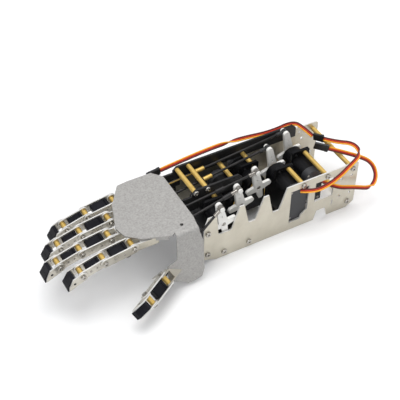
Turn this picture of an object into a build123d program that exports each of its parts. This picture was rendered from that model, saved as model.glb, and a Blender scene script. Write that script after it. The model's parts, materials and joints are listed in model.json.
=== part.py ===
from build123d import *
import os
from math import atan2, cos, degrees, radians, sin, sqrt, tan

# Five-finger robotic hand with its forearm of five servos, in millimetres.
# X runs from the fingers (-X) to the rear of the forearm (+X), Z is up and the back of
# the hand faces up. The origin is the middle of the near side plate's lower edge, on
# which the forearm rests. Everything is drawn about the middle plane between the two
# side plates, and write() moves it to that origin.

os.makedirs("parts", exist_ok=True)

# Fits
run_fit = 0.05
side_gap = 0.2
eye_play = 1.2
ball_play = 0.2

# Screws and brass standoffs
screw_radius = 1.5
head_radius = 2.75
head_height = 1.8
standoff_radius = 2.25

# Servos stand in a row, each one a step further back and a step across
servo_pitch = 26.7
first_servo = 21.5
servo_width = 20.0
servo_length = 39.0
servo_bottom = 9.5
servo_top = servo_bottom + servo_length
servo_depth = 40.0
shaft_setback = 9.0
shaft_height = servo_top - shaft_setback
shaft_stub = 4.0
case_fillet = 8.0
ear_depth = 14.0
ear_thickness = 2.5
ear_reach = 7.0
ear_hole_out = 3.0
ear_hole_side = 4.5
ear_hole_radius = 1.8
boss_radius = 6.5
boss_height = 1.2
spline_radius = 2.9
case_room = 0.5
horn_step = 12.5
low_hole_z = servo_bottom - ear_hole_out
high_hole_z = servo_top + ear_hole_out

# Forearm side plates, as long, wide and high as the row of servos needs
servo_count = 5
rear_room = 39.7
servo_room = 30.0
plate_margin = 0.5
plate_thickness = 1.5
plate_corner = 5.0
front_slope = 14.0
rear_slope = 8.0
front_notch = 12.0
notch_depth = 4.0
rear_pattern_inset = 12.5
rear_pattern_drop = 26.0
forearm_length = first_servo + (servo_count - 1) * servo_pitch + rear_room
forearm_width = servo_depth + servo_room
forearm_height = servo_top + ear_reach + plate_margin
front_x = -forearm_length / 2
near_face = -forearm_width / 2
far_face = forearm_width / 2
near_inner = near_face + plate_thickness
far_inner = far_face - plate_thickness

# Horns
horn_thickness = 3.0
horn_reach = 25.0
horn_side_reach = 11.0
horn_hub_radius = 5.0
horn_tip_radius = 3.0
horn_side_radius = 2.6
horn_lean = 12.0
arm_height = shaft_height + horn_reach * cos(radians(horn_lean))
stud_radius = 1.0
stud_length = 4.3
stud_cap_radius = 2.3
stud_cap_height = 1.4

# Pushrods
rod_radius = 1.2
link_radius = 2.9
link_thickness = 3.0
link_offset = 4.0
eye_radius = 3.6
eye_thickness = 2.4
coupler_radius = 2.1
coupler_length = 9.0
coupler_x = 34.5

# Wrist beams and the front bracket
beam_thickness = 2.0
beam_edge = 2.5
beam_corner = 4.0
beam_reach = 32.0
beam_top = arm_height
beam_under = high_hole_z - beam_edge
near_beam_inset = 30.0
near_beam_end = 57.0
far_beam_end = 140.0
bracket_drop = 7.5
wrist_top = servo_top - bracket_drop
flange_depth = 7.0
post_front = 8.0
post_spacing = 12.0
post_drop = 3.0

# Palm
palm_drop = 3.75
palm_top = arm_height - palm_drop
sheet_thickness = 1.2
base_thickness = 1.5
palm_under = palm_top - sheet_thickness
base_under = palm_under - base_thickness
palm_over_near = 6.0
palm_over_far = 5.0
palm_near = near_face - palm_over_near
palm_far = far_face + palm_over_far

# Fingers
finger_inset = 6.5
finger_pitch = (forearm_width - 2 * finger_inset) / 3
finger_offset = -0.5
link_half_height = 4.5
cover_gap = 0.3
knuckle_height = palm_under - link_half_height - cover_gap
finger_plate = 1.2
outer_half = 6.5
proximal_length = 28.0
middle_length = 22.0
distal_length = 17.0
sleeve_radius = 2.5
finger_head_radius = 2.4
finger_head_height = 1.5
lever_reach = 10.0
lever_radius = 2.6
lever_lean = 24.0
proximal_pitch = 8.0
middle_pitch = 15.0
distal_pitch = 24.0

# Thumb
thumb_forward = 49.0
thumb_out = 18.0
thumb_height = 22.0
thumb_root = (front_x - thumb_forward, near_face - thumb_out, thumb_height)
thumb_yaw = 32.0
thumb_roll = 41.0
thumb_link_length = 26.8
thumb_tip_length = 18.6
clevis_reach = 17.0
panel_reach = 44.0
panel_foot_out = 16.5
panel_fold_out = 7.9
panel_front = front_x - panel_reach
panel_foot_y = near_face - panel_foot_out
panel_fold_y = near_face - panel_fold_out
panel_foot_z = 4.0

# Servo leads, three flat wires side by side, and their plugs
lead_width = 3.6
plug_length = 14.0
plug_width = 7.6
plug_thickness = 3.0

# Worked out from the sizes above
inner_outside = outer_half - finger_plate - side_gap
inner_inside = inner_outside - finger_plate
outer_inside = outer_half - finger_plate
fit_radius = screw_radius + run_fit
middle_to_origin = (forearm_width - plate_thickness) / 2
finger_names = ["index", "middle", "ring", "little"]
knuckle_reach = [69.0, 82.0, 73.0, 59.0]
finger_y = [finger_offset + finger_pitch * (i - 1.5) for i in range(4)]
knuckle_x = [front_x - reach for reach in knuckle_reach]

# Each servo's shaft side: +1 has its horn towards +Y, -1 towards -Y
servo_x = [front_x + first_servo + servo_pitch * i for i in range(servo_count)]
ring_horn = plate_thickness + case_room + servo_depth + shaft_stub
horn_y = [near_face + out for out in (3.5, 17.0, 29.5, ring_horn, ring_horn + horn_step)]
horn_side = [-1, -1, -1, 1, 1]
driven = ["thumb", "index", "middle", "ring", "little"]


def box(x_range, y_range, z_range):
    """A block between two corners, given as one range for each axis."""
    spans = [x_range, y_range, z_range]
    size = [high - low for low, high in spans]
    middle = [(high + low) / 2 for low, high in spans]
    return Pos(*middle) * Box(*size)


def side_sheet(profile, y_low, y_high):
    """A profile drawn in X and Z, given a thickness along Y."""
    return Pos(0, y_low, 0) * extrude(Plane.XZ * profile, amount=y_high - y_low, dir=(0, 1, 0))


def outline(points):
    return Polygon(*points, align=None)


def hole(x, z, radius):
    return Pos(x, z) * Circle(radius)


def slot(a, b, radius):
    """A round-ended bar from a to b in the plane."""
    length = sqrt((b[0] - a[0]) ** 2 + (b[1] - a[1]) ** 2)
    turn = degrees(atan2(b[1] - a[1], b[0] - a[0]))
    bar = Pos((a[0] + b[0]) / 2, (a[1] + b[1]) / 2) * Rot(0, 0, turn) * Rectangle(length, 2 * radius)
    return bar + hole(*a, radius) + hole(*b, radius)


def taper(a, b, radius_a, radius_b):
    """A bar from a to b whose half width goes from one radius to the other."""
    length = sqrt((b[0] - a[0]) ** 2 + (b[1] - a[1]) ** 2)
    u = ((b[0] - a[0]) / length, (b[1] - a[1]) / length)
    n = (-u[1], u[0])
    corners = [
        (a[0] + n[0] * radius_a, a[1] + n[1] * radius_a),
        (b[0] + n[0] * radius_b, b[1] + n[1] * radius_b),
        (b[0] - n[0] * radius_b, b[1] - n[1] * radius_b),
        (a[0] - n[0] * radius_a, a[1] - n[1] * radius_a),
    ]
    return outline(corners) + hole(*a, radius_a) + hole(*b, radius_b)


def rod_between(a, b, radius):
    """A straight round rod from one point to another."""
    start, end = Vector(*a), Vector(*b)
    along = end - start
    frame = Plane(origin=start, z_dir=along)
    return frame * Cylinder(radius, along.length, align=(Align.CENTER, Align.CENTER, Align.MIN))


def pin(x, z, y_low, y_high, radius):
    """A round pin along Y."""
    return rod_between((x, y_low, z), (x, y_high, z), radius)


def write(name, *solids):
    """One STEP file for one node, moved from the middle plane to the origin's place."""
    loose = [Pos(0, middle_to_origin, 0) * one for shape in solids for one in shape.solids()]
    shape = loose[0] if len(loose) == 1 else Compound(children=loose)
    shape.label = name
    export_step(shape, f"parts/{name}.step")


def screw(x, z, face, side, inward=plate_thickness):
    """A pan-head screw in a side plate: side is the way its head points along Y."""
    head = pin(x, z, *sorted((face, face + side * head_height)), head_radius)
    head = fillet(head.edges().filter_by(GeomType.CIRCLE).sort_by(Axis.Y)[-1 if side > 0 else 0], 0.9)
    shank = pin(x, z, *sorted((face, face - side * inward)), screw_radius)
    drive = pin(x, z, *sorted((face + side * (head_height - 0.9), face + side * head_height)), 1.1)
    return head + shank - drive


def servo(i):
    """A servo on its side: its shaft lies along Y and its long side stands upright."""
    x, y, side = servo_x[i], horn_y[i], horn_side[i]
    case_top = y - side * shaft_stub
    case_bottom = case_top - side * servo_depth
    ear = case_top - side * (ear_depth + ear_thickness / 2)
    case = box(
        (x - servo_width / 2, x + servo_width / 2),
        sorted((case_top, case_bottom)),
        (servo_bottom, servo_top),
    )
    top_edges = case.edges().filter_by(Axis.Y).sort_by(Axis.Z)[-2:]
    case = fillet(top_edges, case_fillet)
    ears = outline([
        (x - servo_width / 2, servo_bottom - ear_reach),
        (x + servo_width / 2, servo_bottom - ear_reach),
        (x + servo_width / 2, servo_top + ear_reach),
        (x - servo_width / 2, servo_top + ear_reach),
    ])
    ears = fillet(ears.vertices(), 2.0)
    for across in (-ear_hole_side, ear_hole_side):
        ears -= hole(x + across, servo_top + ear_hole_out, ear_hole_radius)
        ears -= hole(x + across, servo_bottom - ear_hole_out, ear_hole_radius)
    body = case + side_sheet(ears, *sorted((ear, ear + side * ear_thickness)))
    body += pin(x, shaft_height, *sorted((case_top - side, case_top + side * boss_height)), boss_radius)
    body += pin(x, shaft_height, *sorted((case_top - side, y - side * 1.3)), spline_radius)
    # The seams of the three-part case
    for depth in (7.0, servo_depth - 8.0):
        seam = case_top - side * depth
        ring = box(
            (x - servo_width / 2 - 1, x + servo_width / 2 + 1),
            (seam - 0.2, seam + 0.2),
            (servo_bottom - 1, servo_top + 1),
        )
        core = box(
            (x - servo_width / 2 + 0.3, x + servo_width / 2 - 0.3),
            (seam - 0.3, seam + 0.3),
            (servo_bottom + 0.3, servo_top - 0.3),
        )
        core = fillet(core.edges().filter_by(Axis.Y).sort_by(Axis.Z)[-2:], case_fillet - 0.3)
        body -= ring - core
    return body


def arm_tip(i):
    """Where the long arm's stud is, in X and Z."""
    lean = radians(horn_lean)
    return servo_x[i] - horn_reach * sin(lean), shaft_height + horn_reach * cos(lean)


def link_centre(i):
    """The middle of the rod's link on the horn's stud."""
    x, z = arm_tip(i)
    return x, horn_y[i] + horn_side[i] * link_offset, z


def horn(i):
    """A cross-shaped servo horn with one long arm, and the stud its pushrod turns on."""
    x, y, side = servo_x[i], horn_y[i], horn_side[i]
    centre = (x, shaft_height)
    lean = radians(horn_lean)
    profile = taper(centre, arm_tip(i), horn_hub_radius, horn_tip_radius)
    for turn in (90, -90, 180):
        angle = lean + radians(turn)
        reach = horn_side_reach
        end = (x - reach * sin(angle), shaft_height + reach * cos(angle))
        profile += taper(centre, end, horn_hub_radius - 1.2, horn_side_radius)
    for share in (0.42, 0.66):
        along = horn_reach * share
        profile -= hole(x - along * sin(lean), shaft_height + along * cos(lean), 0.7)
    half = horn_thickness / 2
    body = side_sheet(profile, y - half, y + half)
    body += pin(x, shaft_height, *sorted((y - side * (half + 1.3), y)), horn_hub_radius - 0.4)
    body -= pin(x, shaft_height, *sorted((y - side * (half + 1.4), y - side * 1.2)), spline_radius + run_fit)
    body -= pin(x, shaft_height, *sorted((y + side * 0.4, y + side * (half + 1))), 2.2)
    tip_x, tip_z = arm_tip(i)
    face = y + side * half
    body += pin(tip_x, tip_z, *sorted((face - side, face + side * stud_length)), stud_radius)
    cap_low = face + side * stud_length
    body += pin(tip_x, tip_z, *sorted((cap_low, cap_low + side * stud_cap_height)), stud_cap_radius)
    return body


def pushrod(i, end, pin_axis, bore, coupler_share):
    """A rod from the horn's stud to an eye that sits loosely on a finger's lever pin."""
    start = Vector(*link_centre(i))
    end = Vector(*end)
    u = (end - start).normalized()
    body = rod_between(start + u * (link_radius - 0.4), end - u * (eye_radius - 0.4), rod_radius)
    body += pin(start.X, start.Z, start.Y - link_thickness / 2, start.Y + link_thickness / 2, link_radius)
    body += rod_between(start + u * (link_radius - 0.3), start + u * (link_radius + 6.0), 1.9)
    middle = start + (end - start) * coupler_share
    body += rod_between(middle, middle + u * coupler_length, coupler_radius)
    axis = Vector(*pin_axis)
    body += rod_between(end - axis * eye_thickness / 2, end + axis * eye_thickness / 2, eye_radius)
    body -= rod_between(end - axis * eye_thickness, end + axis * eye_thickness, stud_radius + eye_play)
    body -= pin(start.X, start.Z, start.Y - link_thickness, start.Y + link_thickness, bore)
    return body


def plate_pair(profile, inside, outside):
    """Two like plates, one each side of a link's middle plane."""
    return [side_sheet(profile, inside, outside), side_sheet(profile, -outside, -inside)]


def link_profile(length):
    bar = slot((0, 0), (-length, 0), link_half_height)
    return bar - hole(0, 0, fit_radius) - hole(-length, 0, fit_radius)


def core_block(start, end, half_width, half_height):
    """The black block between a link's plates, with its edges broken."""
    block = box((-end, -start), (-half_width, half_width), (-half_height, half_height - 0.6))
    return chamfer(block.edges().filter_by(Axis.Y), 1.0)


def proximal_link(length, lean):
    """The first link: outer plates, the lever on the far plate and the block between them."""
    profile = link_profile(length)
    near = side_sheet(profile, -outer_half, -outer_inside)
    far = side_sheet(profile, outer_inside, outer_half)
    lever_x = -lever_reach * sin(radians(lean))
    lever_z = -lever_reach * cos(radians(lean))
    lever = slot((0, 0), (lever_x, lever_z), lever_radius) - hole(0, 0, fit_radius)
    far += side_sheet(lever, outer_inside, outer_half)
    far += pin(lever_x, lever_z, -eye_thickness / 2 - 0.4, outer_inside + 0.2, stud_radius)
    block = core_block(7.5, length - 6.5, outer_inside, 3.6)
    return [near, far, block]


def middle_link(length):
    """The second link: inner plates and the block between them."""
    plates = plate_pair(link_profile(length), inner_inside, inner_outside)
    block = core_block(5.0, length - 5.0, inner_inside, 3.6)
    return [*plates, block]


def tip_plates(length, inside, outside):
    """The last link's plates, cut to a slope at the finger's end."""
    half = link_half_height
    profile = hole(0, 0, half) + outline([
        (0, half), (-length * 0.5, half), (-length + 1.5, -half * 0.35), (-length, -half), (0, -half),
    ])
    profile -= hole(0, 0, fit_radius)
    profile -= hole(-length * 0.55, -0.6, 1.2)
    return plate_pair(profile, inside, outside)


def fingertip(length, half_width):
    """The black pad block that fills the last link and stands proud at its end."""
    half = link_half_height
    profile = outline([
        (-6.4, half - 0.4), (-length * 0.5 - 0.6, half + 0.3), (-length - 0.4, -half * 0.2),
        (-length - 1.4, -half - 0.6), (-length + 3.5, -half - 0.9), (-6.4, -half + 0.3),
    ])
    profile -= outline([
        (-length * 0.5 - 3.4, half + 2), (-length * 0.5 - 4.8, half - 3.0), (-length * 0.5 - 6.2, half + 2),
    ])
    pad = side_sheet(profile, -half_width, half_width)
    cross_half = half_width + finger_plate
    cross = pin(-length * 0.55, -0.6, -cross_half, cross_half, 1.15)
    return pad + cross


def axle():
    """A link's axle: a brass sleeve on a steel screw, with its head and its nut."""
    length = outer_half + 0.1
    body = pin(0, 0, -length, length, screw_radius)
    body += pin(0, 0, -inner_inside + 0.1, inner_inside - 0.1, sleeve_radius)
    head = pin(0, 0, -length - finger_head_height, -length, finger_head_radius)
    head = fillet(head.edges().filter_by(GeomType.CIRCLE).sort_by(Axis.Y)[0], 0.7)
    head -= pin(0, 0, -length - finger_head_height, -length - finger_head_height + 0.7, 1.0)
    nut = side_sheet(RegularPolygon(finger_head_radius + 0.2, 6), length, length + finger_head_height)
    return body + head + nut


# Side plates
def from_front(points):
    """Points whose X is measured from the plates' front edge."""
    return [(front_x + x, z) for x, z in points]


def valley(x, top_low, top_high, foot_low, foot_high, foot_z):
    """A V-shaped cut from a plate's top edge beside a servo at x, with a rounded foot."""
    cut = outline([
        (x + top_low, forearm_height + 1), (x + foot_low, foot_z),
        (x + foot_high, foot_z), (x + top_high, forearm_height + 1),
    ])
    return fillet(cut.vertices().sort_by(Axis.Y)[:2], 1.5)


plate_outline = outline(from_front([
    (0, plate_corner), (front_slope, 0), (forearm_length - rear_slope, 0), (forearm_length, plate_corner),
    (forearm_length, forearm_height), (notch_depth, forearm_height), (0, forearm_height - front_notch),
]))
plate_outline = fillet(plate_outline.vertices().sort_by(Axis.X)[-2:], 3.0)
rear_pattern_x = front_x + forearm_length - rear_pattern_inset
rear_pattern_z = forearm_height - rear_pattern_drop
rear_spacing_x = 12.0
rear_spacing_z = 22.0
rear_hole_radius = 1.6
for across in (-0.5, 0.5):
    for up in (-0.5, 0.5):
        plate_outline -= hole(
            rear_pattern_x + across * rear_spacing_x,
            rear_pattern_z + up * rear_spacing_z,
            rear_hole_radius,
        )

corner_screws = from_front([(4, wrist_top - 4), (4, plate_corner + 5.5)])
rear_posts = from_front([(forearm_length - 6, forearm_height - 7), (forearm_length - 8, 8)])
near_servo_screws = [
    (servo_x[0], low_hole_z),
    (servo_x[1], low_hole_z),
    (servo_x[3] + ear_hole_side, high_hole_z),
    (servo_x[4] + ear_hole_side, high_hole_z),
]
far_servo_screws = [(x - ear_hole_side, low_hole_z) for x in servo_x[2:]]
beam_servo_screws = [(x + ear_hole_side, high_hole_z) for x in servo_x[1:3]]

near_outline = plate_outline
near_outline -= valley(servo_x[0], -8.9, 15.5, -6.5, 7.5, shaft_height - 8.5)
near_outline -= valley(servo_x[1], -6.7, 14.8, -1.2, 5.8, shaft_height - 8.0)
near_outline -= valley(servo_x[2], -7.4, 13.1, -1.9, 5.1, shaft_height - 7.5)
near_outline -= outline([(servo_x[3] + x, z) for x, z in [
    (-9.1, servo_bottom), (3.4, servo_bottom), (4.4, servo_bottom + 4.5), (10.9, servo_bottom + 9.5),
    (10.9, servo_top + 0.5), (-9.1, servo_top + 0.5),
]])
near_outline -= outline([(servo_x[4] + x, z) for x, z in [
    (-8.3, servo_bottom + 14.5), (12.7, servo_bottom + 14.5), (12.7, servo_top - 0.5),
    (-8.3, servo_top - 0.5),
]])
near_outline -= outline([(servo_x[4] + x, z) for x, z in [(-7.3, -1), (8.7, -1), (5.7, 11), (-4.3, 11)]])
near_outline -= slot((servo_x[4] + 13.2, 12), (servo_x[4] + 13.2, 17), 0.9)
for x, z in [*corner_screws, *rear_posts, *near_servo_screws]:
    near_outline -= hole(x, z, fit_radius)
near_plate = side_sheet(near_outline, near_face, near_inner)

window_gap = 0.5
far_outline = plate_outline
far_outline -= outline([
    (servo_x[2] - servo_width / 2 - window_gap, servo_bottom - window_gap),
    (servo_x[2] + servo_width / 2 + window_gap, servo_bottom - window_gap),
    (servo_x[2] + servo_width / 2 + window_gap, servo_top + window_gap),
    (servo_x[2] - servo_width / 2 - window_gap, servo_top + window_gap),
])
for x in (14.0, 22.0):
    far_outline -= hole(front_x + forearm_length - x, forearm_height - 6, 1.2)
for x, z in [*corner_screws, *rear_posts, *far_servo_screws, *beam_servo_screws]:
    far_outline -= hole(x, z, fit_radius)
far_plate = side_sheet(far_outline, far_inner, far_face)

# Wrist: two black beams that carry the palm, and the cross plate in front
post_z = beam_top - post_drop
wrist_posts = from_front([(post_front, post_z), (post_front + post_spacing, post_z)])
near_beam_low = near_face + near_beam_inset
far_beam_low = far_inner - beam_thickness


def beam(end, holes):
    """A beam on edge, stepped down in front under the palm."""
    shoulder = wrist_top + beam_corner
    profile = outline(from_front([
        (-beam_reach, base_under), (-beam_reach, shoulder + 4.5), (5 - beam_reach, shoulder),
        (beam_corner, wrist_top), (11, wrist_top), (11, beam_under), (end, beam_under),
        (end, beam_top - beam_corner), (end - beam_corner, beam_top), (2 * beam_corner, beam_top),
        (beam_corner, beam_top - beam_corner), (beam_corner, base_under),
    ]))
    for x, z in [*wrist_posts, *holes]:
        profile -= hole(x, z, fit_radius)
    return profile


near_beam_screw = (servo_x[0] + ear_hole_side, high_hole_z)
near_profile = beam(near_beam_end, [near_beam_screw])
near_beam = side_sheet(near_profile, near_beam_low, near_beam_low + beam_thickness)
far_beam = side_sheet(beam(far_beam_end, beam_servo_screws), far_beam_low, far_inner)

bracket = box((front_x, front_x + plate_thickness), (near_inner, far_inner), (plate_corner, wrist_top))
flange = outline(from_front([
    (0, plate_corner), (flange_depth, plate_corner), (flange_depth, wrist_top), (0, wrist_top),
]))
for x, z in corner_screws:
    flange -= hole(x, z, fit_radius)
bracket += side_sheet(flange, near_inner, near_inner + plate_thickness)
bracket += side_sheet(flange, far_inner - plate_thickness, far_inner)
for side in (-1, 1):
    opening = box((front_x - 1, front_x + 3), (-6.5, 6.5), (-10.0, 10.0))
    opening = fillet(opening.edges().filter_by(Axis.X), 2.5)
    bracket -= Pos(0, side * 14.0, (plate_corner + wrist_top) / 2) * opening

# Palm
rear_edge_y = palm_near + 1.8
cover_outline = outline([
    (knuckle_x[3] + 9, palm_far - 1), (knuckle_x[2] + 8, finger_y[2] + 9), (knuckle_x[1] + 7, finger_y[1]),
    (knuckle_x[1] + 10, finger_y[0] + 7), (knuckle_x[0] + 8, finger_y[0] - 3),
    *[(front_x + x, y) for x, y in [
        (-36, palm_near), (-32, rear_edge_y), (-10, rear_edge_y), (-8, palm_near + 12), (-7, palm_far - 10),
        (-15, palm_far), (-39, palm_far),
    ]],
])
cover_outline = fillet(cover_outline.vertices(), 2.0)
base_outline = outline([
    (knuckle_x[3] + 14, palm_far - 6), (knuckle_x[2] + 15, finger_y[2] + 7), (knuckle_x[1] + 14, finger_y[1]),
    (knuckle_x[1] + 20, finger_y[0] + 8), (knuckle_x[0] + 17, finger_y[0] - 1),
    *[(front_x + x, y) for x, y in [
        (-38, palm_near + 4), (-22, palm_near + 4), (-22, palm_far - 2), (-39, palm_far - 2),
    ]],
])
palm_base = Pos(0, 0, base_under) * extrude(base_outline, base_thickness)

cover = Pos(0, 0, palm_under) * extrude(cover_outline, sheet_thickness)
sheet_middle = palm_top - sheet_thickness / 2
panel_line = FilletPolyline(
    (panel_fold_y + 4.9, sheet_middle), (panel_fold_y, sheet_middle), (panel_foot_y, panel_foot_z),
    radius=4.0,
)
panel_section = Plane.YZ * trace(panel_line, sheet_thickness)
panel = Pos(front_x - 60, 0, 0) * extrude(panel_section, 60, dir=(1, 0, 0))
panel_side = outline([*from_front([
    (-32, palm_top + 2), (-10, palm_top + 2), (-10, palm_top - 4), (-7, 45), (-8, 14), (-11, 6), (-24, 3),
    (-30, 8),
]), (panel_front, 14), (panel_front, 30), *from_front([(-34, 34)])])
panel_side = fillet(panel_side.vertices().filter_by(lambda v: v.Y < palm_top - 5), 2.0)
panel &= side_sheet(panel_side, -60, 0)
cover += panel
rim_height = 4.0
for a, b in [((-39, palm_far), (-15, palm_far)), ((-49, palm_near + 4.7), (-38, palm_near + 0.7))]:
    span = (Vector(*b) - Vector(*a)).length
    turn = degrees(atan2(b[1] - a[1], b[0] - a[0]))
    strip = Box(span, sheet_thickness, rim_height)
    inward = -0.5 if a[1] > 0 else 0.5
    strip = Pos(0, inward * sheet_thickness, 0) * strip
    place = Pos(front_x + (a[0] + b[0]) / 2, (a[1] + b[1]) / 2, palm_top - rim_height / 2)
    cover += place * Rot(0, 0, turn) * strip
cover -= Pos(front_x - 22, palm_near + 8, palm_under - 1) * Cylinder(1.6, 6)

# Knuckle channels under the palm
channel_rear = [45.0, 38.0, 38.0, 36.0]
channels = []
for x, y, rear in zip(knuckle_x, finger_y, channel_rear):
    side_profile = hole(x, knuckle_height, link_half_height)
    side_profile += outline([
        (x, knuckle_height - link_half_height), (front_x - rear, knuckle_height - link_half_height),
        (front_x - rear, base_under), (x, base_under),
    ])
    side_profile -= hole(x, knuckle_height, fit_radius)
    channel = side_sheet(side_profile, y + inner_inside, y + inner_outside)
    channel += side_sheet(side_profile, y - inner_outside, y - inner_inside)
    channel += box(
        (x + 7.0, front_x - rear), (y - inner_outside, y + inner_outside), (base_under - 1.2, base_under)
    )
    channels.append(channel)

# Thumb frame: -X runs to the thumb's tip, +Z out of its back
yaw, roll = radians(thumb_yaw), radians(thumb_roll)
thumb_along = Vector(-cos(yaw), -sin(yaw), 0)
thumb_up = Vector(0, 0, 1)
thumb_side = thumb_up.cross(thumb_along).normalized()
thumb_back = thumb_up * cos(roll) + thumb_side * sin(roll)
thumb_frame = Plane(origin=thumb_root, x_dir=-thumb_along, z_dir=thumb_back)
thumb_axis = -thumb_frame.y_dir

# The thumb's clevis stands on the panel's outer face and butts against its front edge
clevis_side = link_half_height
clevis_profile = slot((0, 0), (clevis_reach, 0), clevis_side) - hole(0, 0, fit_radius)
clevis = side_sheet(clevis_profile, inner_inside, inner_outside)
clevis += side_sheet(clevis_profile, -inner_outside, -inner_inside)
clevis += box((6.5, clevis_reach), (-inner_outside, inner_outside), (clevis_side - 1.2, clevis_side))
clevis = thumb_frame * clevis
panel_slope = (panel_fold_y - panel_foot_y) / (sheet_middle - panel_foot_z)
panel_half = sheet_thickness / 2 * sqrt(1 + panel_slope ** 2)
behind_panel = Polygon(
    (panel_foot_y - panel_half - 40 * panel_slope, panel_foot_z - 40),
    (panel_foot_y - panel_half + 80 * panel_slope, panel_foot_z + 80),
    (20, panel_foot_z + 80),
    (20, panel_foot_z - 40),
    align=None,
)
clevis -= Pos(panel_front, 0, 0) * extrude(Plane.YZ * behind_panel, 90, dir=(1, 0, 0))

# Servo posts and the frame's screws
posts = []
for i, x, z, end in [
    (0, servo_x[0] + ear_hole_side, high_hole_z, near_beam_low),
    (0, servo_x[0], low_hole_z, near_inner),
    (1, servo_x[1] + ear_hole_side, high_hole_z, far_beam_low),
    (1, servo_x[1], low_hole_z, near_inner),
    (2, servo_x[2] + ear_hole_side, high_hole_z, far_beam_low),
    (2, servo_x[2] - ear_hole_side, low_hole_z, far_inner),
    (3, servo_x[3] + ear_hole_side, high_hole_z, near_inner),
    (3, servo_x[3] - ear_hole_side, low_hole_z, far_inner),
    (4, servo_x[4] + ear_hole_side, high_hole_z, near_inner),
    (4, servo_x[4] - ear_hole_side, low_hole_z, far_inner),
]:
    ear_middle = horn_y[i] - horn_side[i] * (shaft_stub + ear_depth)
    toward = 1 if end > ear_middle else -1
    start = ear_middle + toward * ear_thickness / 2
    posts.append(pin(x, z, *sorted((start, end)), standoff_radius))
rear_standoffs = [pin(x, z, near_inner, far_inner, standoff_radius) for x, z in rear_posts]
wrist_standoffs = [
    pin(x, z, near_beam_low + beam_thickness, far_beam_low, standoff_radius) for x, z in wrist_posts
]

screws = []
for x, z in [*rear_posts, *near_servo_screws]:
    screws.append(screw(x, z, near_face, -1))
for x, z in [*rear_posts, *far_servo_screws]:
    screws.append(screw(x, z, far_face, 1))
for x, z in beam_servo_screws:
    screws.append(screw(x, z, far_face, 1, plate_thickness + beam_thickness))
for x, z in corner_screws:
    screws.append(screw(x, z, near_face, -1, 2 * plate_thickness))
    screws.append(screw(x, z, far_face, 1, 2 * plate_thickness))
for x, z in wrist_posts:
    screws.append(screw(x, z, near_beam_low, -1, beam_thickness))
screws.append(screw(*near_beam_screw, near_beam_low + beam_thickness, 1, beam_thickness))

# Fingers: each link is drawn pointing along -X from its own axle, then placed
link_pitch = [proximal_pitch, middle_pitch, distal_pitch]
link_length = [proximal_length, middle_length, distal_length]
all_knuckle_pins = []
for name, x, y in zip(finger_names, knuckle_x, finger_y):
    links = [
        proximal_link(proximal_length, lever_lean + proximal_pitch),
        middle_link(middle_length),
        [*tip_plates(distal_length, outer_inside, outer_half), fingertip(distal_length, outer_inside)],
    ]
    point = Vector(x, y, knuckle_height)
    placed = []
    for shapes, pitch, length in zip(links, link_pitch, link_length):
        frame = Pos(point.X, point.Y, point.Z) * Rot(0, -pitch, 0)
        placed.append([frame * shape for shape in shapes])
        placed.append([frame * axle()])
        point = point + Vector(-cos(radians(pitch)), 0, -sin(radians(pitch))) * length
    write(f"{name}_proximal_link", *placed[0])
    all_knuckle_pins.extend(placed[1])
    write(f"{name}_middle_link", *placed[2])
    write(f"{name}_middle_pin", *placed[3])
    write(f"{name}_distal_plates", *placed[4][:2])
    write(f"{name}_fingertip", placed[4][2])
    write(f"{name}_tip_pin", *placed[5])

# Thumb: the same links, on its own tilted axle
thumb_links = proximal_link(thumb_link_length, 0.0)
thumb_joint = thumb_frame * Pos(-thumb_link_length, 0, 0)
write("thumb_link", *[thumb_frame * shape for shape in thumb_links])
all_knuckle_pins.append(thumb_frame * axle())
write("thumb_tip_pin", thumb_joint * axle())
thumb_plates = tip_plates(thumb_tip_length, inner_inside, inner_outside)
write("thumb_tip_plates", *[thumb_joint * shape for shape in thumb_plates])
write("thumb_tip", thumb_joint * fingertip(thumb_tip_length, inner_inside))

# Servo leads: each route's points have X measured from the plates' front edge
def lead(name, points):
    """A round tube as wide as the flat lead, along straight runs with rounded corners."""
    route = [Vector(front_x + x, y, z) for x, y, z in points]
    radii = []
    for before, corner, after in zip(route, route[1:], route[2:]):
        arriving = corner - before
        leaving = after - corner
        turn = radians(arriving.get_angle(leaving))
        radii.append(0.45 * min(arriving.length, leaving.length) / tan(turn / 2))
    path = FilletPolyline(*route, radius=radii)
    print(name, "corner radii", [round(radius, 1) for radius in radii], "length", round(path.length, 1))
    return sweep(Plane(origin=path @ 0, z_dir=path % 0) * Circle(lead_width / 2), path=path), path


def plug(path, share, way):
    """A flat plug on a lead's end, pointing the way the lead does."""
    start = path @ share
    along = (path % share) * way
    flat = Vector(0, 0, 1).cross(along).normalized()
    frame = Plane(origin=start, x_dir=flat, z_dir=along)
    on_foot = (Align.CENTER, Align.CENTER, Align.MIN)
    body = frame * Box(plug_thickness, plug_width, plug_length, align=on_foot)
    return chamfer(body.edges(), 0.4)


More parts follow.
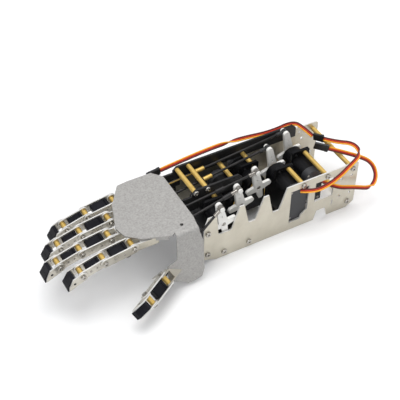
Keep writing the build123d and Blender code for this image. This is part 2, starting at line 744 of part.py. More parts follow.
far_lead, far_path = lead("far lead", [
    (151.3, 18.4, 54.1), (148, 29, 57.5), (142, 40, 60.5), (118, 46, 61.5), (84, 50.5, 63), (45, 48, 62),
    (4, 39, 60),
])
window_lead, window_path = lead("window lead", [
    (103, -34.3, 46), (112, -43, 47.5), (127, -44.5, 48), (141, -43, 52.5), (154, -40, 59.5), (171, -33, 62),
    (175, -16, 61), (163, -3, 58), (157, 8, 56),
])
rear_lead, rear_path = lead("rear lead", [
    (130, -21.2, 40), (137, -39, 38), (158, -43, 30), (178, -41, 23), (190, -36, 36), (183, -27, 51),
    (168, -18, 58), (153, -8, 57),
])
lead_plugs = [plug(far_path, 1, 1), plug(rear_path, 1, 1)]
joined = window_path @ 1
joined_end = far_path @ 0
joined_frame = Plane(
    origin=joined, x_dir=Vector(0, 0, 1).cross(joined_end - joined), z_dir=joined_end - joined
)
lead_plugs.append(joined_frame * Box(
    plug_thickness,
    plug_width,
    (joined_end - joined).length - 1.0,
    align=(Align.CENTER, Align.CENTER, Align.MIN),
))

# Pushrods from the horns to the levers
lever_x = -lever_reach * sin(radians(lever_lean))
lever_z = -lever_reach * cos(radians(lever_lean))
rod_ends = [thumb_frame.origin - thumb_back * lever_reach]
for x, y in zip(knuckle_x, finger_y):
    rod_ends.append(Vector(x + lever_x, y, knuckle_height + lever_z))
for i, name in enumerate(driven):
    write(f"{name}_servo", servo(i))
    write(f"{name}_horn", horn(i))
    end = rod_ends[i]
    start = Vector(*link_centre(i))
    axis = thumb_axis if i == 0 else Vector(0, 1, 0)
    bore = stud_radius + (ball_play if i == 0 else run_fit)
    share = 0.5 if i == 0 else (start.X - front_x - coupler_x) / (start.X - end.X)
    write(f"{name}_pushrod", pushrod(i, end, axis, bore, share))

write("near_side_plate", near_plate)
write("far_side_plate", far_plate)
write("near_wrist_beam", near_beam)
write("far_wrist_beam", far_beam)
write("wrist_bracket", bracket)
write("palm_base", palm_base)
write("palm_cover", cover)
write("knuckle_channels", *channels)
write("knuckle_pins", *all_knuckle_pins)
write("thumb_clevis", clevis)
write("frame_standoffs", *posts, *rear_standoffs)
write("wrist_standoffs", *wrist_standoffs)
write("frame_screws", *screws)
write("far_lead", far_lead)
write("window_lead", window_lead)
write("rear_lead", rear_lead)
write("lead_plugs", *lead_plugs)
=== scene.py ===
import json
from collections import namedtuple
from math import cos, pi, radians, sin

import bmesh
import bpy
from mathutils import Matrix, Vector


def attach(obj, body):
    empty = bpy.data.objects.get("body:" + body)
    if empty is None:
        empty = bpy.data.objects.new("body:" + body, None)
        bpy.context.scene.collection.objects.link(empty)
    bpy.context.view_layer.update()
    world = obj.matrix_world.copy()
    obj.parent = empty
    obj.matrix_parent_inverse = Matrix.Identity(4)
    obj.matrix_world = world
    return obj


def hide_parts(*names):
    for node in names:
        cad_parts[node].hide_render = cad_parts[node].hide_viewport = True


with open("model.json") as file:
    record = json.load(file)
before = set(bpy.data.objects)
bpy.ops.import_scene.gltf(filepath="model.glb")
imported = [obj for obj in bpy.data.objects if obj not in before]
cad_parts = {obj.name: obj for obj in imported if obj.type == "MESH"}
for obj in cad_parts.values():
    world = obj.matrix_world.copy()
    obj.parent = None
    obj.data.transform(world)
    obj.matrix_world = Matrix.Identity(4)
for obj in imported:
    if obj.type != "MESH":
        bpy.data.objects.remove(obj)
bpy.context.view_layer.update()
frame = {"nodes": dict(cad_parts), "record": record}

nodes = frame["nodes"]

# Lengths are in millimetres until they are multiplied by this
MM = 0.001
# The side plates' front end, and the plane midway between the plates
FRONT_X = -84.0
MIDDLE_Y = 34.25
FINGERS = ["index", "middle", "ring", "little"]
DRIVEN = ["thumb"] + FINGERS

# Most values of a noise lie between these two
NOISE_LOW = 0.3
NOISE_HIGH = 0.7
NOISE_ROUGHNESS = 0.55


# Materials
def new_material(name):
    material = bpy.data.materials.new(name)
    material.use_nodes = True
    tree = material.node_tree
    shader = tree.nodes["Principled BSDF"]
    return material, tree, shader


def add(tree, kind, **settings):
    node = tree.nodes.new(kind)
    for key, value in settings.items():
        setattr(node, key, value)
    return node


def noise(tree, scale, detail, stretch=(1, 1, 1)):
    """Noise in object space, in features of about one over scale metres."""
    place = add(tree, "ShaderNodeTexCoord")
    mapping = add(tree, "ShaderNodeMapping")
    mapping.inputs["Scale"].default_value = stretch
    tree.links.new(place.outputs["Object"], mapping.inputs["Vector"])
    texture = add(tree, "ShaderNodeTexNoise")
    texture.inputs["Scale"].default_value = scale
    texture.inputs["Detail"].default_value = detail
    texture.inputs["Roughness"].default_value = NOISE_ROUGHNESS
    tree.links.new(mapping.outputs["Vector"], texture.inputs["Vector"])
    return texture.outputs["Fac"]


def ramp(tree, source, low, high):
    """A colour between two, from a noise."""
    node = add(tree, "ShaderNodeValToRGB")
    node.color_ramp.elements[0].position = NOISE_LOW
    node.color_ramp.elements[1].position = NOISE_HIGH
    node.color_ramp.elements[0].color = (*low, 1)
    node.color_ramp.elements[1].color = (*high, 1)
    tree.links.new(source, node.inputs["Fac"])
    return node.outputs["Color"]


def to_range(tree, source, low, high):
    """A number between two, from a noise."""
    node = add(tree, "ShaderNodeMapRange")
    node.inputs["From Min"].default_value = NOISE_LOW
    node.inputs["From Max"].default_value = NOISE_HIGH
    node.inputs["To Min"].default_value = low
    node.inputs["To Max"].default_value = high
    tree.links.new(source, node.inputs["Value"])
    return node.outputs["Result"]


def average(tree, one, other):
    """Half of one noise and half of another."""
    half = add(tree, "ShaderNodeMath", operation="MULTIPLY")
    tree.links.new(other, half.inputs[0])
    half.inputs[1].default_value = 0.5
    mixed = add(tree, "ShaderNodeMath", operation="MULTIPLY_ADD")
    tree.links.new(one, mixed.inputs[0])
    mixed.inputs[1].default_value = 0.5
    tree.links.new(half.outputs["Value"], mixed.inputs[2])
    return mixed.outputs["Value"]


def shade(
    name, low, high, metallic=0.0, rough=(0.35, 0.5), grain=900.0, patches=60.0,
    stretch=(1, 1, 1), bump=0.15, depth=0.00004, soften=0.0, shine=0.5,
):
    """A finish with blotches of two near colours, uneven gloss and a fine grain in its surface.

    Grain and patches are features to a metre, stretch draws the grain out, depth is the grain's
    height and soften the radius that edges look rounded by, both in metres.
    """
    material, tree, shader = new_material(name)
    shader.inputs["Metallic"].default_value = metallic
    shader.inputs["Specular IOR Level"].default_value = shine
    blotch = noise(tree, patches, detail=5.0)
    fine = noise(tree, grain, detail=6.0, stretch=stretch)
    tree.links.new(ramp(tree, blotch, low, high), shader.inputs["Base Color"])
    gloss = average(tree, fine, blotch)
    tree.links.new(to_range(tree, gloss, *rough), shader.inputs["Roughness"])
    relief = add(tree, "ShaderNodeBump")
    relief.inputs["Strength"].default_value = bump
    relief.inputs["Distance"].default_value = depth
    tree.links.new(fine, relief.inputs["Height"])
    if soften:
        edge = add(tree, "ShaderNodeBevel", samples=4)
        edge.inputs["Radius"].default_value = soften
        tree.links.new(edge.outputs["Normal"], relief.inputs["Normal"])
    tree.links.new(relief.outputs["Normal"], shader.inputs["Normal"])
    return material


# Sheet metal
SHEET = shade(
    "satin_sheet", low=(0.50, 0.465, 0.385), high=(0.62, 0.585, 0.495), metallic=0.85,
    rough=(0.26, 0.42), grain=1500.0, patches=45.0, stretch=(0.12, 1.0, 1.0), bump=0.25,
    depth=0.00003, soften=0.0004,
)
FINGER_SHEET = shade(
    "finger_sheet", low=(0.50, 0.47, 0.41), high=(0.64, 0.61, 0.54), metallic=0.85,
    rough=(0.22, 0.38), grain=1800.0, patches=90.0, stretch=(0.15, 1.0, 1.0), bump=0.2,
    depth=0.00003, soften=0.0003,
)
# A brighter colour on the sheets' edges: a painted highlight where the edges catch the light
EDGE_HIGHLIGHT = shade(
    "painted_edge_highlight", low=(0.74, 0.73, 0.69), high=(0.86, 0.85, 0.82), metallic=0.5,
    rough=(0.3, 0.45), grain=1800.0, patches=90.0, depth=0.00003, soften=0.0002,
)
COVER = shade(
    "blasted_cover", low=(0.30, 0.29, 0.275), high=(0.44, 0.43, 0.41), metallic=0.3,
    rough=(0.50, 0.64), grain=2200.0, patches=620.0, bump=0.5, depth=0.00006, soften=0.0006,
)
BLACK_SHEET = shade(
    "black_anodised", low=(0.012, 0.012, 0.013), high=(0.028, 0.027, 0.027), metallic=0.3,
    rough=(0.32, 0.48), grain=1600.0, patches=50.0, depth=0.00003, soften=0.0004,
)

# Plastic
BLACK_BLOCK = shade(
    "black_block", low=(0.004, 0.004, 0.006), high=(0.010, 0.010, 0.014), rough=(0.30, 0.46),
    grain=1400.0, patches=120.0, bump=0.2, soften=0.0005, shine=0.15,
)
SERVO_CASE = shade(
    "servo_case", low=(0.003, 0.003, 0.0035), high=(0.008, 0.008, 0.009), rough=(0.26, 0.38),
    grain=2600.0, patches=70.0, bump=0.3, depth=0.00005, soften=0.0006, shine=0.18,
)
SERVO_BASE = shade(
    "servo_base", low=(0.022, 0.023, 0.026), high=(0.036, 0.037, 0.041), rough=(0.42, 0.58),
    grain=2600.0, bump=0.35, depth=0.00005, soften=0.0005,
)
HORN = shade(
    "horn_plastic", low=(0.76, 0.75, 0.71), high=(0.85, 0.84, 0.80), rough=(0.36, 0.5),
    grain=1800.0, patches=110.0, soften=0.0004,
)
LINK = shade(
    "link_plastic", low=(0.012, 0.012, 0.013), high=(0.03, 0.03, 0.03), rough=(0.3, 0.45),
    grain=1500.0, patches=200.0, bump=0.2, depth=0.00003, soften=0.0003,
)
PLUG = shade(
    "plug_plastic", low=(0.008, 0.008, 0.009), high=(0.02, 0.02, 0.02), rough=(0.3, 0.45),
    grain=1500.0, patches=200.0, bump=0.2, depth=0.00003, soften=0.0003,
)

# Posts, screws and rods
BRASS = shade(
    "brass", low=(0.66, 0.44, 0.11), high=(0.80, 0.56, 0.17), metallic=0.6, rough=(0.34, 0.5),
    grain=1800.0, patches=160.0, stretch=(1, 0.15, 1), bump=0.2, depth=0.00003, soften=0.0002,
)
STEEL = shade(
    "steel_screw", low=(0.34, 0.32, 0.29), high=(0.54, 0.52, 0.48), metallic=1.0,
    rough=(0.18, 0.3), grain=2200.0, patches=300.0, depth=0.00003, soften=0.0002,
)
NUT = shade(
    "nickel_nut", low=(0.30, 0.28, 0.25), high=(0.46, 0.43, 0.39), metallic=1.0,
    rough=(0.2, 0.32), grain=2200.0, patches=420.0, bump=0.3, soften=0.0002,
)
ROD = shade(
    "dark_rod", low=(0.016, 0.015, 0.015), high=(0.035, 0.033, 0.032), metallic=0.4,
    rough=(0.28, 0.44), grain=1800.0, patches=120.0, depth=0.00003, soften=0.0002,
)

# The wires of a lead, side by side
WIRES = [
    shade(name, low, high, rough=(0.4, 0.55), patches=80.0, shine=0.3)
    for name, low, high in (
        ("wire_brown", (0.10, 0.025, 0.022), (0.15, 0.04, 0.032)),
        ("wire_red", (0.50, 0.03, 0.012), (0.60, 0.05, 0.02)),
        ("wire_orange", (0.84, 0.36, 0.02), (0.92, 0.44, 0.04)),
    )
]


def paint(node, *materials):
    """Gives a CAD node its materials, the first one everywhere."""
    mesh = nodes[node].data
    mesh.materials.clear()
    for material in materials:
        mesh.materials.append(material)
    for polygon in mesh.polygons:
        polygon.material_index = 0
    return mesh


# Corners closer than this, in metres, are one
SAME_PLACE = 1e-6


def islands(mesh):
    """Each solid of a node as a list of its polygons."""
    places = {}
    parent = list(range(len(mesh.vertices)))

    def find(i):
        """The one corner that stands for all that corner i is joined to."""
        while parent[i] != i:
            parent[i] = parent[parent[i]]
            i = parent[i]
        return i

    for vertex in mesh.vertices:
        key = tuple(round(value / SAME_PLACE) for value in vertex.co)
        if key in places:
            parent[find(vertex.index)] = find(places[key])
        else:
            places[key] = vertex.index
    for polygon in mesh.polygons:
        first = polygon.vertices[0]
        for other in polygon.vertices[1:]:
            parent[find(other)] = find(first)
    groups = {}
    for polygon in mesh.polygons:
        groups.setdefault(find(polygon.vertices[0]), []).append(polygon)
    return list(groups.values())


def across(joint_name):
    """A joint's place and its axis."""
    joints = frame["record"]["behaviour"]["joints"]
    joint = next(joint for joint in joints if joint["name"] == joint_name)
    return Vector(joint["pos_m"]), Vector(joint["axis"]).normalized()


def corner_offsets(mesh, polygon, place, axis):
    """How far a polygon's corners lie along an axis from a place, and how far out from it."""
    offsets = []
    for index in polygon.vertices:
        away = mesh.vertices[index].co - place
        along = away.dot(axis)
        offsets.append((along, (away - axis * along).length))
    return offsets


# Half the space between the plates of a finger's first link, and of its second
OUTER_INSIDE = 5.3
INNER_INSIDE = 3.9
# A solid is a block when its middle is within this share of that space
BLOCK_SHARE = 0.6
# A face is a sheet's edge when less than this share of its normal points across the sheet
EDGE_SHARE = 0.5


def paint_plates(node, axis, sheet):
    """A sheet's faces, and its edges in a brighter colour: a painted highlight."""
    mesh = paint(node, sheet, EDGE_HIGHLIGHT)
    for polygon in mesh.polygons:
        if abs(polygon.normal.dot(axis)) < EDGE_SHARE:
            polygon.material_index = 1
    return mesh


def paint_link(node, joint, inside):
    """Silver plates, with the black block between them."""
    place, axis = across(joint)
    mesh = paint_plates(node, axis, FINGER_SHEET)
    mesh.materials.append(BLACK_BLOCK)
    for group in islands(mesh):
        reaches = [mesh.vertices[i].co.dot(axis) for polygon in group for i in polygon.vertices]
        middle = sum(reaches) / len(reaches)
        if abs(middle - place.dot(axis)) < inside * BLOCK_SHARE * MM:
            for polygon in group:
                polygon.material_index = 2


def paint_axle(node, joints):
    """Steel screws with a brass sleeve between the plates."""
    mesh = paint(node, STEEL, BRASS)
    for polygon in mesh.polygons:
        corners = [mesh.vertices[i].co for i in polygon.vertices]
        centre = sum(corners, Vector()) / len(corners)
        place, axis = min(joints, key=lambda joint: (centre - joint[0]).length)
        offsets = corner_offsets(mesh, polygon, place, axis)
        if all(abs(along) < INNER_INSIDE * MM for along, _ in offsets):
            polygon.material_index = 1


# Fingers and thumb
for finger in FINGERS:
    paint_link(f"{finger}_proximal_link", f"{finger}_knuckle", OUTER_INSIDE)
    paint_link(f"{finger}_middle_link", f"{finger}_middle_joint", INNER_INSIDE)
    paint_plates(f"{finger}_distal_plates", across(f"{finger}_end_joint")[1], FINGER_SHEET)
    paint(f"{finger}_fingertip", BLACK_BLOCK)
    paint_axle(f"{finger}_middle_pin", [across(f"{finger}_middle_joint")])
    paint_axle(f"{finger}_tip_pin", [across(f"{finger}_end_joint")])
paint_link("thumb_link", "thumb_knuckle", OUTER_INSIDE)
paint_plates("thumb_tip_plates", across("thumb_end_joint")[1], FINGER_SHEET)
paint("thumb_tip", BLACK_BLOCK)
paint_axle("thumb_tip_pin", [across("thumb_end_joint")])
paint_axle("knuckle_pins", [across(f"{name}_knuckle") for name in DRIVEN])

# Frame and palm
for name in ("near_side_plate", "far_side_plate", "knuckle_channels"):
    paint_plates(name, Vector((0, 1, 0)), SHEET)
paint("thumb_clevis", SHEET)
paint("palm_cover", COVER)
for name in ("palm_base", "wrist_bracket", "near_wrist_beam", "far_wrist_beam"):
    paint(name, BLACK_SHEET)
paint("frame_screws", STEEL)
paint("frame_standoffs", BRASS)
paint("wrist_standoffs", BRASS)
paint("lead_plugs", PLUG)

# Servos from front to rear: where each horn is and which way it faces
HORN_Y = [MIDDLE_Y + y for y in (-31.5, -18.0, -5.5, 11.0, 23.5)]
HORN_SIDE = [-1, -1, -1, 1, 1]
FIRST_SERVO = 21.5
SERVO_PITCH = 26.7
SERVO_X = [FRONT_X + FIRST_SERVO + SERVO_PITCH * i for i in range(len(DRIVEN))]
SHAFT_Z = 39.5
# From a horn to its case's bottom and top, and the depth of the case's base
SERVO_DEPTH = 44.0
SHAFT_STUB = 4.0
BASE_DEPTH = 8.1
# The output spline starts this far above the case
SPLINE_START = 1.0


def paint_servo(i):
    """A black case whose base is dark grey and whose output spline is brass."""
    mesh = paint(f"{DRIVEN[i]}_servo", SERVO_CASE, SERVO_BASE, BRASS)
    case_bottom = (HORN_Y[i] - HORN_SIDE[i] * SERVO_DEPTH) * MM
    case_top = (HORN_Y[i] - HORN_SIDE[i] * SHAFT_STUB) * MM
    for polygon in mesh.polygons:
        ys = [mesh.vertices[j].co.y for j in polygon.vertices]
        if all(abs(y - case_bottom) < BASE_DEPTH * MM for y in ys):
            polygon.material_index = 1
        if all((y - case_top) * HORN_SIDE[i] > SPLINE_START * MM for y in ys):
            polygon.material_index = 2


# A horn's steel stud for its rod
STUD_RADIUS = 2.4
STUD_HALF_LENGTH = 2.45


def paint_horn(name):
    """A white horn with a steel stud."""
    mesh = paint(f"{name}_horn", HORN, STEEL)
    place, axis = across(f"{name}_rod_pivot")[0], Vector((0, 1, 0))
    for polygon in mesh.polygons:
        offsets = corner_offsets(mesh, polygon, place, axis)
        within_radius = all(out < STUD_RADIUS * MM for _, out in offsets)
        if within_radius and all(abs(along) < STUD_HALF_LENGTH * MM for along, _ in offsets):
            polygon.material_index = 1


# A pushrod's parts, by how far they reach from its horn end, from its eye end and from its axis
HORN_END_REACH = 9.5
EYE_END_REACH = 9.0
COUPLER_INSIDE = 1.6
COUPLER_OUTSIDE = 2.9


def paint_pushrod(i):
    """A dark rod: on the far side its coupler is brass, and on the near side its link is nickel."""
    near_side = HORN_SIDE[i] < 0
    coupler, link = (ROD, NUT) if near_side else (BRASS, LINK)
    mesh = paint(f"{DRIVEN[i]}_pushrod", ROD, LINK, coupler, link)
    pivot = across(f"{DRIVEN[i]}_rod_pivot")[0]
    tip = max((vertex.co for vertex in mesh.vertices), key=lambda co: (co - pivot).length) - pivot
    along = tip.normalized()
    for polygon in mesh.polygons:
        spots = [mesh.vertices[j].co - pivot for j in polygon.vertices]
        outs = [(spot - along * spot.dot(along)).length for spot in spots]
        if all(spot.dot(along) < HORN_END_REACH * MM for spot in spots):
            polygon.material_index = 3
        elif all((spot - tip).length < EYE_END_REACH * MM for spot in spots):
            polygon.material_index = 1
        elif min(outs) > COUPLER_INSIDE * MM and max(outs) < COUPLER_OUTSIDE * MM:
            polygon.material_index = 2


for i, name in enumerate(DRIVEN):
    paint_servo(i)
    paint_horn(name)
    paint_pushrod(i)


# Pieces of the scene alone
def new_piece(name, shape, body, *materials):
    """A built shape as an object that rides on a body."""
    mesh = bpy.data.meshes.new(name)
    shape.to_mesh(mesh)
    shape.free()
    for material in materials:
        mesh.materials.append(material)
    piece = bpy.data.objects.new(name, mesh)
    bpy.context.scene.collection.objects.link(piece)
    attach(piece, body)
    return piece


def round_edges(shape, offset):
    bmesh.ops.bevel(
        shape, geom=shape.edges[:], offset=offset * MM, segments=2, profile=0.6, affect="EDGES",
    )


# A domed screw head's outline, as shares of its radius and height, and its round recess
HEAD_SIDES = 20
HEAD_OUTLINE = [(1.0, 0.0), (1.0, 0.45), (0.9, 0.78), (0.62, 0.96), (0.34, 1.0)]
RECESS_TAPER = 0.9
RECESS_FLOOR = 0.5


def add_head(shape, radius, height, place, normal):
    """Adds a screw head that stands on a place and points along a normal."""
    turn = Vector((0, 0, 1)).rotation_difference(normal).to_matrix()

    def ring(out, up):
        corners = []
        for k in range(HEAD_SIDES):
            angle = 2 * pi * k / HEAD_SIDES
            corner = Vector((out * cos(angle), out * sin(angle), up)) * MM
            corners.append(shape.verts.new(place + turn @ corner))
        return corners

    rings = [ring(out * radius, up * height) for out, up in HEAD_OUTLINE]
    rings.append(ring(HEAD_OUTLINE[-1][0] * radius * RECESS_TAPER, height * RECESS_FLOOR))
    for low, high in zip(rings, rings[1:]):
        for k in range(HEAD_SIDES):
            following = (k + 1) % HEAD_SIDES
            shape.faces.new((low[k], low[following], high[following], high[k])).smooth = True
    shape.faces.new(rings[-1])
    shape.faces.new(list(reversed(rings[0])))


def screw_heads(name, body, spots, radius, height):
    """Steel screw heads as one piece: each spot is a place and the way its head points."""
    shape = bmesh.new()
    for place, normal in spots:
        add_head(shape, radius, height, place, normal)
    new_piece(name, shape, body, STEEL)


# A link: its body, its joint, the way it points at rest, where its block's screws are along it
# and how far out, and where its block's nose starts and ends, and half the nose's width
Link = namedtuple("Link", "body joint along screws_at half_width nose nose_half_width")


def finger_way(pitch):
    """The way a finger's link points, by its pitch in degrees."""
    return Vector((-cos(radians(pitch)), 0, -sin(radians(pitch))))


thumb_way = (across("thumb_end_joint")[0] - across("thumb_knuckle")[0]).normalized()
LINKS = []
for finger in FINGERS:
    LINKS.append(Link(
        body=f"{finger}_first", joint=f"{finger}_knuckle", along=finger_way(8.0),
        screws_at=(10.0, 19.0), half_width=6.5, nose=(5.1, 7.7), nose_half_width=5.25,
    ))
    LINKS.append(Link(
        body=f"{finger}_second", joint=f"{finger}_middle_joint", along=finger_way(15.0),
        screws_at=(8.0, 14.0), half_width=5.1, nose=(3.1, 5.2), nose_half_width=3.85,
    ))
LINKS.append(Link(
    body="thumb_first", joint="thumb_knuckle", along=thumb_way,
    screws_at=(10.0, 18.0), half_width=6.5, nose=(5.1, 7.7), nose_half_width=5.25,
))

# The screws that hold each link's block to its plates
for link in LINKS:
    place, axis = across(link.joint)
    spots = [
        (place + link.along * reach * MM + axis * side * link.half_width * MM, axis * side)
        for reach in link.screws_at
        for side in (-1, 1)
    ]
    screw_heads(f"{link.body}_screws", link.body, spots, radius=1.0, height=0.5)

# The nose of each block, next to the brass sleeve
NOSE_DEPTH = 6.2
NOSE_DROP = 0.3
NOSE_EDGE = 0.3


def block_nose(link):
    """A block with rounded edges between a link's plates."""
    place, axis = across(link.joint)
    up = axis.cross(link.along).normalized()
    if up.z < 0:
        up = -up
    start, end = link.nose
    shape = bmesh.new()
    bmesh.ops.create_cube(shape, size=1.0)
    for vertex in shape.verts:
        ahead = start + (vertex.co.x + 0.5) * (end - start)
        aside = vertex.co.y * 2 * link.nose_half_width
        above = vertex.co.z * NOSE_DEPTH - NOSE_DROP
        vertex.co = place + (link.along * ahead + axis * aside + up * above) * MM
    bmesh.ops.recalc_face_normals(shape, faces=shape.faces)
    round_edges(shape, NOSE_EDGE)
    new_piece(f"{link.body}_nose", shape, link.body, BLACK_BLOCK)


for link in LINKS:
    block_nose(link)

# The screws in the corners of each servo case's base, sunk a little
CASE_SCREW_X = (-7.0, 7.0)
CASE_SCREW_Z = (12.5, 45.0)
CASE_SCREW_SINK = 0.35
spots = []
for x, y, side in zip(SERVO_X, HORN_Y, HORN_SIDE):
    for dx in CASE_SCREW_X:
        for z in CASE_SCREW_Z:
            bottom = Vector((x + dx, y - side * (SERVO_DEPTH - CASE_SCREW_SINK), z)) * MM
            spots.append((bottom, Vector((0, -side, 0))))
screw_heads("servo_case_screws", "forearm", spots, radius=1.3, height=0.5)

# The screw in the middle of each horn
HORN_SCREW_OUT = 0.4
for name, x, y, side in zip(DRIVEN, SERVO_X, HORN_Y, HORN_SIDE):
    spots = [(Vector((x, y + side * HORN_SCREW_OUT, SHAFT_Z)) * MM, Vector((0, side, 0)))]
    screw_heads(f"{name}_horn_screw", f"{name}_crank", spots, radius=1.9, height=0.9)

# Flat servo leads along smooth routes, from the plates' front end and the middle plane
FAR_ROUTE = [
    (151.3, 18.4, 54.1), (148, 29, 57.5), (142, 40, 60.5), (118, 41.5, 55.5), (84, 45, 58),
    (45, 45.5, 59), (-4, 43, 56),
]
WINDOW_ROUTE = [
    (103, -34.3, 46), (112, -43, 48), (127, -44.5, 51), (141, -43, 55.5), (154, -40, 60.5),
    (171, -33, 62), (175, -16, 61), (163, -3, 58), (157, 8, 56),
]
REAR_ROUTE = [
    (130, -21.2, 40), (138, -40, 39), (160, -43.5, 33), (180, -44, 23), (191, -38, 28),
    (189, -31, 42), (176, -24, 51), (152, -7, 57),
]
WIRE_SIDES = 10
WIRE_RADIUS = 0.72
WIRE_STEP = 1.4
# The way that the flat side faces, and the share of a lead's length that its half twist takes
FLAT_FACES = Vector((-0.363, -0.628, 0.688))
TWIST_SPAN = 0.14


def smooth_points(route):
    """Points along the route's NURBS spline, in metres."""
    curve = bpy.data.curves.new("route", "CURVE")
    curve.dimensions = "3D"
    spline = curve.splines.new("NURBS")
    spline.points.add(len(route) - 1)
    for point, (x, y, z) in zip(spline.points, route):
        point.co = ((FRONT_X + x) * MM, (MIDDLE_Y + y) * MM, z * MM, 1.0)
    spline.order_u = 3
    spline.use_endpoint_u = True
    curve.resolution_u = 16
    holder = bpy.data.objects.new("route", curve)
    bpy.context.scene.collection.objects.link(holder)
    evaluated = holder.evaluated_get(bpy.context.evaluated_depsgraph_get())
    mesh = bpy.data.meshes.new_from_object(evaluated)
    points = [vertex.co.copy() for vertex in mesh.vertices]
    bpy.data.objects.remove(holder)
    bpy.data.curves.remove(curve)
    bpy.data.meshes.remove(mesh)
    return points


def twist(share, twist_at):
    """The turn at a share of a lead's length, which eases from none to a half turn."""
    done = min(max((share - twist_at) / TWIST_SPAN + 0.5, 0.0), 1.0)
    return pi * done * done * (3 - 2 * done)


def wire_rings(shape, points, order, twist_at):
    """A ring of corners round each of the three wires at every point."""
    last = len(points) - 1
    rings = [[] for _ in WIRES]
    for k, point in enumerate(points):
        forward = (points[min(k + 1, last)] - points[max(k - 1, 0)]).normalized()
        flat_wide = (forward.cross(FLAT_FACES) * order).normalized()
        turn = twist(k / last, twist_at)
        wide = flat_wide * cos(turn) + forward.cross(flat_wide) * sin(turn)
        thin = forward.cross(wide)
        for strand, ring in enumerate(rings):
            middle = point + wide * (strand - 1) * WIRE_STEP * MM
            angles = [2 * pi * a / WIRE_SIDES for a in range(WIRE_SIDES)]
            ring.append([
                shape.verts.new(middle + (wide * cos(angle) + thin * sin(angle)) * WIRE_RADIUS * MM)
                for angle in angles
            ])
    return rings


def ribbon(name, route, node, order, twist_at):
    """Three wires side by side that face up and near, with a half twist part of the way.

    Order is 1 or -1, and swaps the outer wires. Twist_at is the share of the length where the
    twist is.
    """
    points = smooth_points(route)
    shape = bmesh.new()
    for strand, loops in enumerate(wire_rings(shape, points, order, twist_at)):
        for low, high in zip(loops, loops[1:]):
            for a in range(WIRE_SIDES):
                b = (a + 1) % WIRE_SIDES
                face = shape.faces.new((low[a], low[b], high[b], high[a]))
                face.material_index = strand
                face.smooth = True
        for cap in (list(reversed(loops[0])), loops[-1]):
            shape.faces.new(cap).material_index = strand
    piece = new_piece(name, shape, "forearm", *WIRES)
    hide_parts(node)
    length = sum((b - a).length for a, b in zip(points, points[1:]))
    return piece, points, length


far, far_points, far_length = ribbon("far_ribbon", FAR_ROUTE, "far_lead", -1, 0.76)
window, window_points, window_length = ribbon("window_ribbon", WINDOW_ROUTE, "window_lead", 1, 0.67)
rear, rear_points, rear_length = ribbon("rear_ribbon", REAR_ROUTE, "rear_lead", -1, 0.44)

# A plug's collar and body: their thickness and width
PLUG_COLLAR = (3.0, 7.6)
PLUG_BODY = (2.6, 7.2)
PLUG_LENGTH = 14.0
COLLAR_END = 3.0
BODY_START = 2.4
PLUG_EDGE = 0.35


def plug_piece(name, start, along, length):
    """A flat black plug with a collar where its three wires go in."""
    along = along.normalized()
    flat = Vector((0, 0, 1)).cross(along).normalized()
    turn = Matrix((flat, along.cross(flat), along)).transposed().to_4x4()
    turn.translation = start
    shape = bmesh.new()
    for low, high, (thick, wide) in (
        (0.0, COLLAR_END * MM, PLUG_COLLAR),
        (BODY_START * MM, length, PLUG_BODY),
    ):
        for vertex in bmesh.ops.create_cube(shape, size=1.0)["verts"]:
            vertex.co.x *= thick * MM
            vertex.co.y *= wide * MM
            vertex.co.z = low + (vertex.co.z + 0.5) * (high - low)
    round_edges(shape, PLUG_EDGE)
    bmesh.ops.transform(shape, matrix=turn, verts=shape.verts)
    piece = new_piece(name, shape, "forearm", PLUG)
    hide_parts("lead_plugs")
    return piece


# The window lead's plug spans what is left up to the far lead's end, less a little room
PLUG_ROOM = 1.0
plug_span = far_points[0] - window_points[-1]
far_end, rear_end = far_points[-1] - far_points[-2], rear_points[-1] - rear_points[-2]
far_plug = plug_piece("far_plug", far_points[-1], far_end, PLUG_LENGTH * MM)
window_plug = plug_piece(
    "window_plug", window_points[-1], plug_span, plug_span.length - PLUG_ROOM * MM,
)
rear_plug = plug_piece("rear_plug", rear_points[-1], rear_end, PLUG_LENGTH * MM)

# A pale floor, in metres, a little under the part
FLOOR_REACH = 6.0
FLOOR_DROP = 0.0003
floor_corners = [
    (-FLOOR_REACH, -FLOOR_REACH, 0), (FLOOR_REACH, -FLOOR_REACH, 0),
    (FLOOR_REACH, FLOOR_REACH, 0), (-FLOOR_REACH, FLOOR_REACH, 0),
]
floor_mesh = bpy.data.meshes.new("floor")
floor_mesh.from_pydata(floor_corners, [], [(0, 1, 2, 3)])
floor = bpy.data.objects.new("floor", floor_mesh)
bpy.context.scene.collection.objects.link(floor)
floor.location.z = -FLOOR_DROP
material, tree, shader = new_material("floor")
shader.inputs["Roughness"].default_value = 0.9
shader.inputs["Specular IOR Level"].default_value = 0.1
blotch = noise(tree, scale=3.0, detail=3.0)
floor_colour = ramp(tree, blotch, low=(0.90, 0.90, 0.895), high=(0.92, 0.92, 0.915))
tree.links.new(floor_colour, shader.inputs["Base Color"])
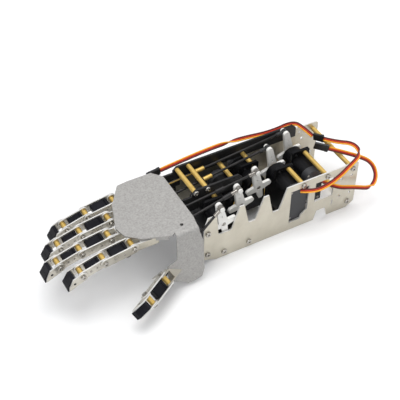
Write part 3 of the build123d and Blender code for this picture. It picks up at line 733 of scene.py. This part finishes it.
floor_mesh.materials.append(material)

# Soft studio light
world = bpy.data.worlds.new("world")
bpy.context.scene.world = world
world.use_nodes = True
background = world.node_tree.nodes["Background"]
background.inputs["Color"].default_value = (0.95, 0.96, 1.0, 1)
background.inputs["Strength"].default_value = 0.5
LIT_POINT = (0, MIDDLE_Y * MM, 0.03)


def area_light(name, place, size, power):
    """A square or oblong lamp at a place in metres, turned to the part."""
    data = bpy.data.lights.new(name, "AREA")
    data.shape = "RECTANGLE"
    data.size, data.size_y = size
    data.energy = power
    lamp = bpy.data.objects.new(name, data)
    bpy.context.scene.collection.objects.link(lamp)
    lamp.location = place
    way = Vector(LIT_POINT) - Vector(place)
    lamp.rotation_euler = way.to_track_quat("-Z", "Y").to_euler()


area_light("key", place=(-0.22, 0.14, 1.5), size=(1.0, 1.0), power=13.5)
area_light("fill", place=(-0.75, -0.78, 1.1), size=(1.2, 0.9), power=6.0)
area_light("rim", place=(1.0, 0.23, 0.8), size=(0.8, 0.8), power=4.5)

# Camera at the photograph's angle, from the middle plane
AZIMUTH = radians(-30.0)
ELEVATION = radians(43.5)
ROLL = radians(1.0)
CAMERA_AT = (-402.33, -577.61, 678.21)
right = Vector((cos(AZIMUTH), sin(AZIMUTH), 0))
back = Vector((
    sin(AZIMUTH) * cos(ELEVATION), -cos(AZIMUTH) * cos(ELEVATION), sin(ELEVATION),
))
up = back.cross(right)
rolled_right = right * cos(ROLL) + up * sin(ROLL)
rolled_up = up * cos(ROLL) - right * sin(ROLL)
camera_data = bpy.data.cameras.new("camera")
camera_data.sensor_width = 36.0
camera_data.lens = 90.0
camera_data.clip_start = 0.01
camera = bpy.data.objects.new("camera", camera_data)
bpy.context.scene.collection.objects.link(camera)
pose = Matrix((rolled_right, rolled_up, back)).transposed().to_4x4()
pose.translation = (Vector((0, MIDDLE_Y, 0)) + Vector(CAMERA_AT)) * MM
camera.matrix_world = pose
bpy.context.scene.camera = camera
bpy.context.scene.view_settings.view_transform = "Standard"
